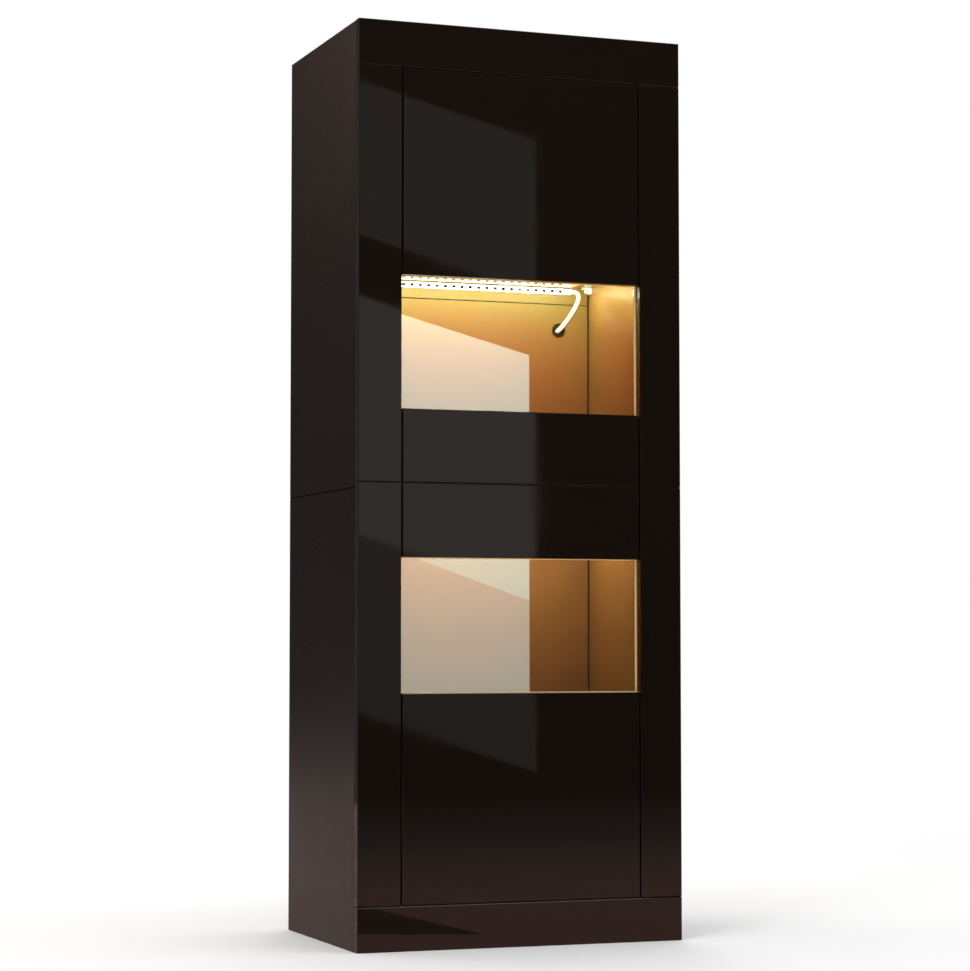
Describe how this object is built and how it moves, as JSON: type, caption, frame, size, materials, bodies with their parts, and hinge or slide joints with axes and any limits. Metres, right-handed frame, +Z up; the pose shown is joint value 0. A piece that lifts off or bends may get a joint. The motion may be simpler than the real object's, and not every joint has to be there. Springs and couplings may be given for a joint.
{
  "type": "china cabinet with glass doors",
  "caption": "Tall black display cabinet with stacked gloss doors, each crossed by a full-width glass window lit by a light strip.",
  "frame": {"origin": "middle of the footprint, on the floor", "axes": "+Z up, +X to the cabinet's right seen from the front, front doors face -Y"},
  "size_m": [0.602, 0.414, 1.6],
  "materials": {
    "gloss_front": "high gloss black lacquer on board",
    "case_board": "satin dark brown-black laminate with a light scuff",
    "inner_board": "semi-gloss brown-black laminate",
    "back_board": "satin brown backing board",
    "window_glass": "clear float glass with polished edges",
    "hinge_metal": "nickel plated steel",
    "white_plastic": "moulded white plastic",
    "black_plastic": "moulded black plastic",
    "light_strip": "flexible light strip, warm white",
    "lead_sleeve": "white flexible sleeve"
  },
  "bodies": {
    "case": {"back_panel_bottom": "back_board", "back_panel_lower": "back_board", "back_panel_top": "back_board", "back_panel_upper": "back_board", "bottom_panel": "inner_board", "header_front": "gloss_front", "left_side_lower": "case_board", "left_side_upper": "case_board", "left_stile_lower": "gloss_front", "left_stile_upper": "gloss_front", "light_controller": "black_plastic", "lower_hinge_housing_bottom": "hinge_metal", "lower_hinge_housing_top": "hinge_metal", "lower_latch_body": "white_plastic", "lower_light_lead": "lead_sleeve", "lower_light_strip": "light_strip", "lower_shelf": "inner_board", "lower_shelf_support_left": "white_plastic", "lower_shelf_support_right": "white_plastic", "middle_panel": "inner_board", "plinth_front": "gloss_front", "power_inlet": "black_plastic", "right_side_lower": "case_board", "right_side_upper": "case_board", "right_stile_lower": "gloss_front", "right_stile_upper": "gloss_front", "top_panel": "inner_board", "upper_hinge_housing_bottom": "hinge_metal", "upper_hinge_housing_top": "hinge_metal", "upper_latch_body": "white_plastic", "upper_light_lead": "lead_sleeve", "upper_light_strip": "light_strip", "upper_shelf": "inner_board", "upper_shelf_support_left": "white_plastic", "upper_shelf_support_right": "white_plastic"},
    "upper_door": {"upper_door_glass": "window_glass", "upper_door_glass_retainer_bottom": "black_plastic", "upper_door_glass_retainer_top": "black_plastic", "upper_door_panel_bottom": "gloss_front", "upper_door_panel_top": "gloss_front", "upper_hinge_cup_bottom": "hinge_metal", "upper_hinge_cup_top": "hinge_metal", "upper_latch_strike": "hinge_metal"},
    "upper_hinge_links": {"upper_hinge_link_bottom": "hinge_metal", "upper_hinge_link_top": "hinge_metal"},
    "lower_door": {"lower_door_glass": "window_glass", "lower_door_glass_retainer_bottom": "black_plastic", "lower_door_glass_retainer_top": "black_plastic", "lower_door_panel_bottom": "gloss_front", "lower_door_panel_top": "gloss_front", "lower_hinge_cup_bottom": "hinge_metal", "lower_hinge_cup_top": "hinge_metal", "lower_latch_strike": "hinge_metal"},
    "lower_hinge_links": {"lower_hinge_link_bottom": "hinge_metal", "lower_hinge_link_top": "hinge_metal"},
    "upper_latch_plunger": {"upper_latch_plunger": "white_plastic"},
    "lower_latch_plunger": {"lower_latch_plunger": "white_plastic"}
  },
  "joints": [
    {"name": "upper_door_hinge", "type": "hinge", "parent": "case", "child": "upper_door", "pos_m": [0.2218, -0.207, 1.152], "axis": [0, 0, 1], "range_deg": [0, 95]},
    {"name": "upper_hinge_links_turn", "type": "hinge", "parent": "case", "child": "upper_hinge_links", "pos_m": [0.2218, -0.207, 1.152], "axis": [0, 0, 1], "range_deg": [0, 48]},
    {"name": "upper_latch_press", "type": "slide", "parent": "case", "child": "upper_latch_plunger", "axis": [0, 1, 0], "range_m": [0, 0.003], "stiffness_N_per_m": 600},
    {"name": "lower_door_hinge", "type": "hinge", "parent": "case", "child": "lower_door", "pos_m": [0.2218, -0.207, 0.44785], "axis": [0, 0, 1], "range_deg": [0, 95]},
    {"name": "lower_hinge_links_turn", "type": "hinge", "parent": "case", "child": "lower_hinge_links", "pos_m": [0.2218, -0.207, 0.44785], "axis": [0, 0, 1], "range_deg": [0, 48]},
    {"name": "lower_latch_press", "type": "slide", "parent": "case", "child": "lower_latch_plunger", "axis": [0, 1, 0], "range_m": [0, 0.003], "stiffness_N_per_m": 600}
  ],
  "couplings": [
    {"joint": "upper_hinge_links_turn", "follows": "upper_door_hinge", "ratio": 0.5},
    {"joint": "lower_hinge_links_turn", "follows": "lower_door_hinge", "ratio": 0.5}
  ]
}
